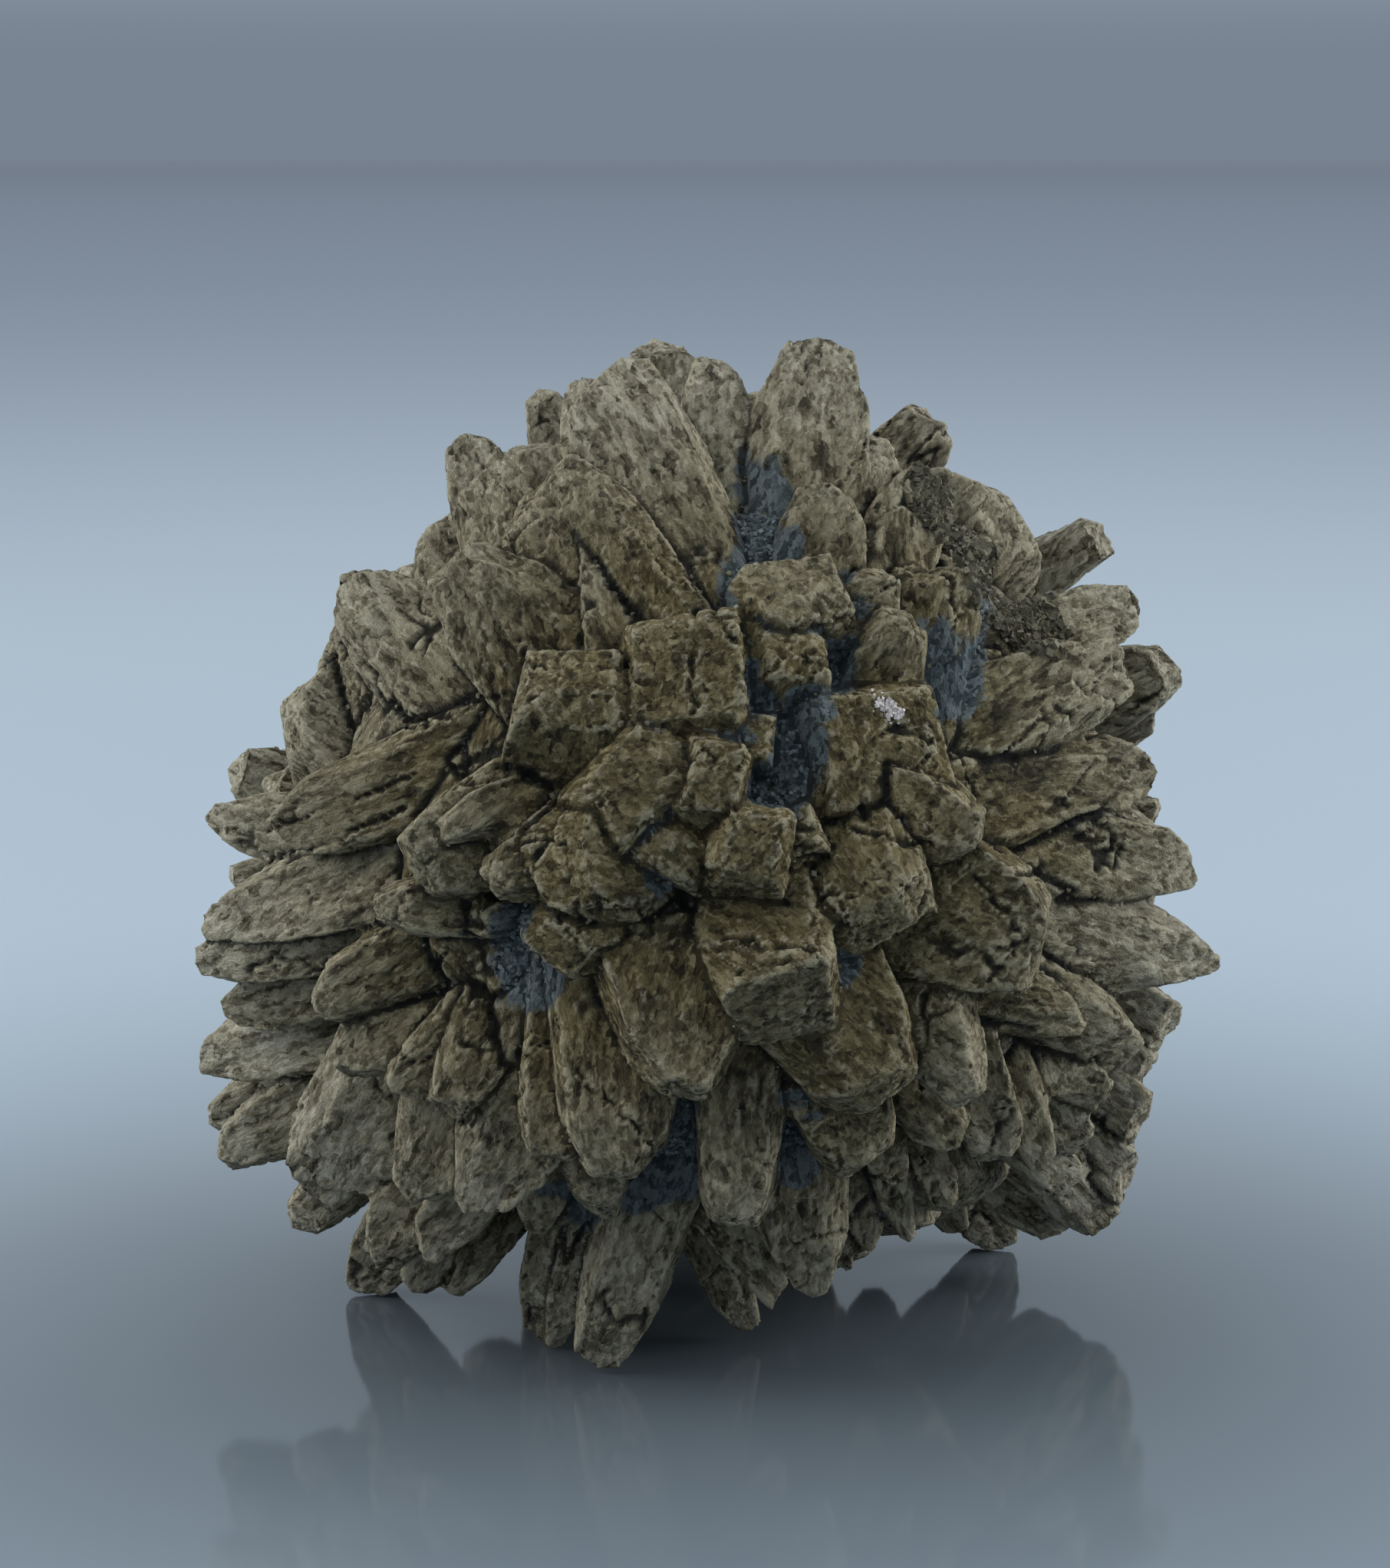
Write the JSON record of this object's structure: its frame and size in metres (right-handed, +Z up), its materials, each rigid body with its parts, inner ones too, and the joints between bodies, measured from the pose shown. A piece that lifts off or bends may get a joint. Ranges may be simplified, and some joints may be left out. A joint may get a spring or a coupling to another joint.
{
  "type": "pineapple calcite",
  "caption": "Ball of blunt, tan-brown calcite crystals grown together round one middle, a display specimen that rests on its worn lowest tips.",
  "frame": {"origin": "middle of the bounding box at its base, on the surface that the ball rests on", "axes": "+Z up, -Y towards the side that the picture shows, +X to the right as seen from there"},
  "size_m": [0.1188, 0.117, 0.1142],
  "materials": {
    "weathered_calcite": "dull, rough and pitted"
  },
  "bodies": {
    "root": {"crystal_ball": "weathered_calcite"}
  },
  "joints": []
}
